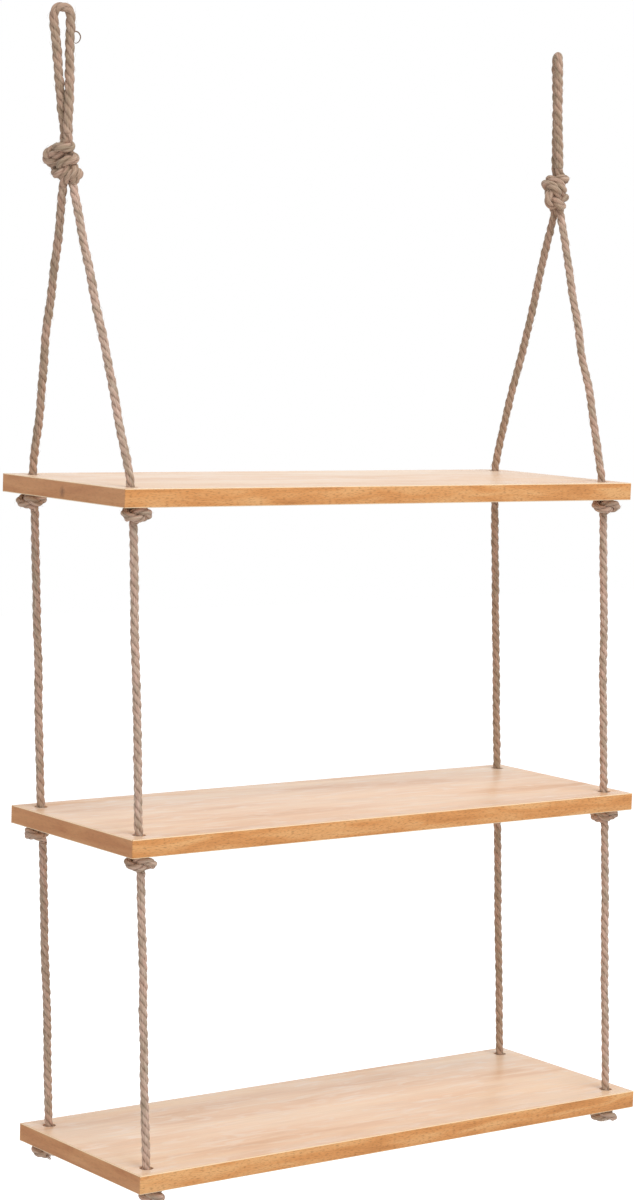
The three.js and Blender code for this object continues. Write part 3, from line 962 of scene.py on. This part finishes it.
# Board panels
# Particle board about 17 mm thick, faced on both sides with a pale wood veneer, lacquered satin, and
# drilled near each corner. The rope has rubbed the rims of the holes a little round.
hole_diameter = 12.4
hole_sides = 64
drill_depth_share = 2
rim_bevel = 0.5
rim_segments = 3
face_bevel = 0.15
same_place = 0.01
rim_tolerance = 0.05
smooth_angle = math.radians(35)
figure_size = (200.0, 31.0, 50.0)
blush_size = (36.0, 9.0, 25.0)
tint_patch_size = (140.0, 85.0, 100.0)
pore_size = (70.0, 1.6, 3.3)
figure_distortion = 0.5
blush_distortion = 0.8
figure_stops = (0.28, 0.45, 0.66)
blush_range = (0.5, 0.7)
blush_amount = 0.75
# The painted sheen: where the warmer front tint fades out toward the paler rear, and how much the patches
# change it.
rear_place = 90.0
front_place = -110.0
rear_amount = -0.9
front_amount = 0.4
patch_amount = 1.5
pore_range = (0.3, 0.6)
pore_shades = (0.94, 1.02)
veneer_roughness = 0.38
lacquer_index = 1.5
pore_bump_strength = 0.15
wood_bump_depth = 0.2
veneer_pale = 0xFBDFC2
veneer_middle = 0xF4D0AF
veneer_dark = 0xE7BA90
veneer_blush = 0xFBE8D8
veneer_sheen_gradient_tint = 0xF9F0E6


def veneer_material():
    """Satin-lacquered veneer: faint grain along the board, short pale blushes, and a painted sheen that
    leaves it paler toward the rear and warmer to the front, in patches. Its pores are too fine to show, so
    they are drawn as streaks 1.6 mm wide."""
    made, tree, shader = new_material("satin_lacquered_veneer")
    place = add_node(tree, "ShaderNodeTexCoord", {})

    def grain(size, **settings):
        scale = [1 / (length * mm) for length in size]
        mapped = add_node(
            tree, "ShaderNodeMapping", {"Vector": place.outputs["Object"], "Scale": scale}
        )
        inputs = {"Vector": mapped.outputs[0], "Scale": 1, **settings}
        return add_node(tree, "ShaderNodeTexNoise", inputs)

    figure = grain(figure_size, Detail=5, Distortion=figure_distortion)
    blush = grain(blush_size, Detail=4, Distortion=blush_distortion)
    patch = grain(tint_patch_size, Detail=2)
    pores = grain(pore_size, Detail=3)
    colour = add_node(tree, "ShaderNodeValToRGB", {"Fac": figure.outputs[0]})
    stops = colour.color_ramp.elements
    stops[0].position, stops[0].color = figure_stops[0], linear(veneer_dark)
    stops[1].position, stops[1].color = figure_stops[2], linear(veneer_pale)
    stops.new(figure_stops[1]).color = linear(veneer_middle)
    blushed = add_node(tree, "ShaderNodeMapRange", {
        "Value": blush.outputs[0], "From Min": blush_range[0], "From Max": blush_range[1],
        "To Min": 0, "To Max": blush_amount,
    })
    pale = add_node(
        tree, "ShaderNodeMix",
        {"Factor": blushed.outputs[0], "A": colour.outputs[0], "B": linear(veneer_blush)},
        data_type="RGBA",
    )
    # Painted sheen: the front is tinted warmer, so the rear of each board stays paler as if it reflected
    # light.
    axes = add_node(tree, "ShaderNodeSeparateXYZ", {0: place.outputs["Object"]})
    sheen_ramp = add_node(tree, "ShaderNodeMapRange", {
        "Value": axes.outputs["Y"], "From Min": rear_place * mm, "From Max": front_place * mm,
        "To Min": rear_amount, "To Max": front_amount,
    })
    sheen_gradient = add_node(
        tree, "ShaderNodeMath", {0: patch.outputs[0], 1: patch_amount, 2: sheen_ramp.outputs[0]},
        operation="MULTIPLY_ADD", use_clamp=True,
    )
    sheen_graded = add_node(
        tree, "ShaderNodeMix",
        {"Factor": sheen_gradient.outputs[0], "A": pale.outputs["Result"], "B": linear(veneer_sheen_gradient_tint)},
        data_type="RGBA", blend_type="MULTIPLY",
    )
    shade = add_node(tree, "ShaderNodeMapRange", {
        "Value": pores.outputs[0], "From Min": pore_range[0], "From Max": pore_range[1],
        "To Min": pore_shades[0], "To Max": pore_shades[1],
    })
    shaded = add_node(
        tree, "ShaderNodeVectorMath", {0: sheen_graded.outputs["Result"], "Scale": shade.outputs[0]},
        operation="SCALE",
    )
    tree.links.new(shaded.outputs[0], shader.inputs["Base Color"])
    shader.inputs["Roughness"].default_value = veneer_roughness
    shader.inputs["IOR"].default_value = lacquer_index
    bump = add_node(tree, "ShaderNodeBump", {
        "Height": pores.outputs[0], "Strength": pore_bump_strength, "Distance": wood_bump_depth * mm,
    })
    tree.links.new(bump.outputs[0], shader.inputs["Normal"])
    return made


veneer = veneer_material()


def select_only(pieces):
    """Selects the pieces alone and makes the first one active."""
    bpy.ops.object.select_all(action="DESELECT")
    for piece in pieces:
        piece.select_set(True)
    bpy.context.view_layer.objects.active = pieces[0]


def smooth_rounds(piece):
    """Shades the piece smooth but for its sharp edges."""
    select_only([piece])
    bpy.ops.object.shade_smooth_by_angle(angle=smooth_angle)


def add_block(name, low, high):
    """A block between two corners in millimetres, with its place in its mesh."""
    bpy.ops.object.select_all(action="DESELECT")
    centre, size = (low + high) / 2 * mm, (high - low) * mm
    bpy.ops.mesh.primitive_cube_add(size=1, location=centre, scale=size)
    block = bpy.context.object
    block.name = name
    block.data.name = name
    bpy.ops.object.transform_apply(location=True, rotation=True, scale=True)
    return block


def bevel_edges(block, chosen, width, segments, material=0):
    """Rounds the edges whose two ends pass the given test, in the given material slot."""
    bpy.context.view_layer.objects.active = block
    bpy.ops.object.mode_set(mode="EDIT")
    bpy.ops.mesh.select_mode(type="EDGE")
    bpy.ops.mesh.select_all(action="DESELECT")
    bpy.ops.object.mode_set(mode="OBJECT")
    places = [np.array(v.co) / mm for v in block.data.vertices]
    for edge in block.data.edges:
        a, b = (places[v] for v in edge.vertices)
        edge.select = bool(chosen(a, b))
    bpy.ops.object.mode_set(mode="EDIT")
    bpy.ops.mesh.bevel(
        offset=width * mm, offset_type="OFFSET", segments=segments, affect="EDGES", material=material
    )
    bpy.ops.object.mode_set(mode="OBJECT")


for tier in tiers:
    low, high = node_box(f"{tier}_board_panel")
    panel = add_block(f"{tier}_board_veneered_panel", low, high)
    bevel_edges(panel, lambda a, b: True, face_bevel, 1)
    holes = [hole_place(tier, corner) for corner in corners]
    drills = []
    for hole in holes:
        bpy.ops.object.select_all(action="DESELECT")
        bpy.ops.mesh.primitive_cylinder_add(
            vertices=hole_sides, radius=hole_diameter / 2 * mm,
            depth=(high[2] - low[2]) * drill_depth_share * mm, location=hole * mm,
        )
        drills.append(bpy.context.object)
    select_only(drills)
    bpy.ops.object.join()
    cutter = bpy.context.object
    drilled = panel.modifiers.new("drilled", "BOOLEAN")
    drilled.operation = "DIFFERENCE"
    drilled.solver = "EXACT"
    drilled.object = cutter
    select_only([panel])
    bpy.ops.object.modifier_apply(modifier="drilled")
    bpy.data.objects.remove(cutter)

    def on_rim(a, b):
        return abs(a[2] - b[2]) < same_place and all(
            min(abs(p[2] - low[2]), abs(p[2] - high[2])) < same_place
            and min(abs(math.dist(p[:2], hole[:2]) - hole_diameter / 2) for hole in holes) < rim_tolerance
            for p in (a, b)
        )

    bevel_edges(panel, on_rim, rim_bevel, rim_segments)
    panel.data.materials.append(veneer)
    smooth_rounds(panel)
    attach(panel, "root" if tier == "top" else f"{tier}_board")
    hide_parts(f"{tier}_board_panel")


# Edge bands
# Strips of the same wood's veneer, 1 mm thick, glued on the four edges and lacquered. Their outer arrises
# are painted pale as a highlight, and the pores show as short dark dashes. One end has a small knot in it.
arris_bevel = 0.7
arris_segments = 3
band_roughness = 0.42
band_bump_strength = 0.1
band_figure_size = (70.0, 9.0)
band_figure_distortion = 0.6
band_figure_stops = (0.28, 0.46, 0.66)
dash_size = (4.3, 1.0)
dash_range = (0.5, 0.68)
long_dash_depth = 0.6
end_dash_depth = 0.25
long_band_colours = (0xCB8747, 0xDF9A58, 0xEBB173)
# The end bands' colours are darker than the long bands': painted shade on the boards' ends.
end_band_shaded_colours = (0xC37F4C, 0xCF8E59, 0xDA9C66)
dash_colour = 0x96602F
# The arris colour is a painted highlight.
arris_highlight_colour = 0xFCE0B8
wood_knot_colour = 0x7E4E2C
wood_knot_size = (2.0, 4.5, 5.5)
wood_knot_ragged_size = 2.0
wood_knot_place = (0, 0.5, 0.4)
wood_knot_range = (0.6, 1.7)
wood_knot_depth = 0.75


def add_wood_knot(tree, place, colour):
    """A small dark knot in the top board's left end, at a share of its length, width and height."""
    low, high = board_box["top"]
    centre = Vector((low + (high - low) * wood_knot_place) * mm)
    apart = add_node(tree, "ShaderNodeVectorMath", {0: place, 1: centre}, operation="SUBTRACT")
    size = Vector(wood_knot_size) * mm
    scaled = add_node(
        tree, "ShaderNodeVectorMath", {0: apart.outputs[0], 1: size}, operation="DIVIDE"
    )
    far = add_node(tree, "ShaderNodeVectorMath", {0: scaled.outputs[0]}, operation="LENGTH")
    wild = add_node(tree, "ShaderNodeTexNoise", {
        "Vector": place, "Scale": 1 / (wood_knot_ragged_size * mm), "Detail": 2,
    })
    ragged = add_node(
        tree, "ShaderNodeMath", {0: far.outputs["Value"], 1: wild.outputs[0]}, operation="ADD"
    )
    depth = add_node(tree, "ShaderNodeMapRange", {
        "Value": ragged.outputs[0], "From Min": wood_knot_range[0], "From Max": wood_knot_range[1],
        "To Min": wood_knot_depth, "To Max": 0,
    })
    return add_node(
        tree, "ShaderNodeMix", {"Factor": depth.outputs[0], "A": colour, "B": linear(wood_knot_colour)},
        data_type="RGBA",
    )


def band_material(name, colours, along_y, dash_depth):
    """Lacquered veneer strip with fine dark dashes along its grain, which are its pores, drawn 1 mm wide
    to show. dash_depth is how dark they are."""
    made, tree, shader = new_material(name)
    place = add_node(tree, "ShaderNodeTexCoord", {})

    def grain(size, **settings):
        along, across = (1 / (length * mm) for length in size)
        scale = (across, along, across) if along_y else (along, across, across)
        mapped = add_node(
            tree, "ShaderNodeMapping", {"Vector": place.outputs["Object"], "Scale": scale}
        )
        inputs = {"Vector": mapped.outputs[0], "Scale": 1, **settings}
        return add_node(tree, "ShaderNodeTexNoise", inputs)

    figure = grain(band_figure_size, Detail=4, Distortion=band_figure_distortion)
    colour = add_node(tree, "ShaderNodeValToRGB", {"Fac": figure.outputs[0]})
    stops = colour.color_ramp.elements
    stops[0].position, stops[0].color = band_figure_stops[0], linear(colours[0])
    stops[1].position, stops[1].color = band_figure_stops[2], linear(colours[2])
    stops.new(band_figure_stops[1]).color = linear(colours[1])
    dashes = grain(dash_size, Detail=4)
    dash = add_node(tree, "ShaderNodeMapRange", {
        "Value": dashes.outputs[0], "From Min": dash_range[0], "From Max": dash_range[1],
        "To Min": 0, "To Max": dash_depth,
    })
    shaded = add_node(
        tree, "ShaderNodeMix",
        {"Factor": dash.outputs[0], "A": colour.outputs[0], "B": linear(dash_colour)},
        data_type="RGBA",
    )
    if along_y:
        shaded = add_wood_knot(tree, place.outputs["Object"], shaded.outputs["Result"])
    tree.links.new(shaded.outputs["Result"], shader.inputs["Base Color"])
    shader.inputs["Roughness"].default_value = band_roughness
    shader.inputs["IOR"].default_value = lacquer_index
    bump = add_node(tree, "ShaderNodeBump", {
        "Height": figure.outputs[0], "Strength": band_bump_strength, "Distance": wood_bump_depth * mm,
    })
    tree.links.new(bump.outputs[0], shader.inputs["Normal"])
    return made


long_band = band_material("lacquered_long_edge_band", long_band_colours, False, long_dash_depth)
# Its darker colours are painted shade on the boards' ends.
end_band = band_material("shaded_lacquered_end_edge_band", end_band_shaded_colours, True, end_dash_depth)
# Painted highlight: the rounded outer arrises get a pale colour of their own.
arris_highlight, _, arris_highlight_shader = new_material("painted_highlight_arris_veneer")
arris_highlight_shader.inputs["Base Color"].default_value = linear(arris_highlight_colour)
arris_highlight_shader.inputs["Roughness"].default_value = band_roughness

for tier in tiers:
    for edge, axis, outer in (("front", 1, 0), ("rear", 1, 1), ("left", 0, 0), ("right", 0, 1)):
        node = f"{tier}_board_{edge}_edge_band"
        strip = add_block(f"{tier}_board_{edge}_veneer_strip", *node_box(node))
        outside = board_box[tier][outer][axis]

        def on_arris(a, b):
            level = abs(a[2] - b[2]) < same_place
            return level and all(abs(p[axis] - outside) < same_place for p in (a, b))

        strip.data.materials.append(long_band if axis == 1 else end_band)
        strip.data.materials.append(arris_highlight)
        bevel_edges(strip, on_arris, arris_bevel, arris_segments, 1)
        smooth_rounds(strip)
        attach(strip, "root" if tier == "top" else f"{tier}_board")
        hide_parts(node)


# Studio
# A white room with a pale floor some way below the shelf, even light from all round and one large soft
# lamp in front and above, to the right of the camera, so that the boards' left ends are darker.
floor_drop = 0.35
floor_size = 14.0
floor_middle = 0.3
floor_white = (0.86, 0.86, 0.86, 1)
floor_glow = 0.6
room_light = 0.58
lamp_power = 270.0
lamp_size = 4.5
lamp_place = Vector((0.6, -4.4, 5.2))
lamp_aim = Vector((0.3, 0.0, -0.6))
white = (1, 1, 1, 1)

world = bpy.data.worlds.new("white_room")
bpy.context.scene.world = world
world.use_nodes = True
room = world.node_tree
room.nodes.clear()
rays = add_node(room, "ShaderNodeLightPath", {})
seen = add_node(
    room, "ShaderNodeMath", {0: rays.outputs["Is Camera Ray"], 1: rays.outputs["Is Glossy Ray"]},
    operation="MAXIMUM",
)
even = add_node(room, "ShaderNodeBackground", {"Color": white, "Strength": room_light})
bright = add_node(room, "ShaderNodeBackground", {"Color": white, "Strength": 1})
shown = {0: seen.outputs[0], 1: even.outputs[0], 2: bright.outputs[0]}
both = add_node(room, "ShaderNodeMixShader", shown)
add_node(room, "ShaderNodeOutputWorld", {"Surface": both.outputs[0]})

lamp_data = bpy.data.lights.new("soft_lamp", "AREA")
lamp_data.energy = lamp_power
lamp_data.size = lamp_size
lamp = bpy.data.objects.new("soft_lamp", lamp_data)
lamp.location = lamp_place
lamp.rotation_mode = "QUATERNION"
lamp.rotation_quaternion = (lamp_aim - lamp_place).to_track_quat("-Z", "Y")
bpy.context.scene.collection.objects.link(lamp)

bpy.ops.object.select_all(action="DESELECT")
floor_place = (floor_middle, 0, cad_low.z - floor_drop)
bpy.ops.mesh.primitive_plane_add(size=floor_size, location=floor_place)
floor = bpy.context.object
floor.name = "pale_floor"
floor_material = bpy.data.materials.new("pale_floor_paint")
floor_material.use_nodes = True
paint = floor_material.node_tree
paint.nodes.clear()
rays = add_node(paint, "ShaderNodeLightPath", {})
lit = add_node(paint, "ShaderNodeBsdfDiffuse", {"Color": floor_white})
glow = add_node(
    paint, "ShaderNodeMath", {0: rays.outputs["Is Camera Ray"], 1: floor_glow}, operation="MULTIPLY"
)
lift = add_node(paint, "ShaderNodeEmission", {"Color": white, "Strength": glow.outputs[0]})
total = add_node(paint, "ShaderNodeAddShader", {0: lit.outputs[0], 1: lift.outputs[0]})
add_node(paint, "ShaderNodeOutputMaterial", {"Surface": total.outputs[0]})
floor.data.materials.append(floor_material)

bpy.context.scene.view_settings.view_transform = "Standard"
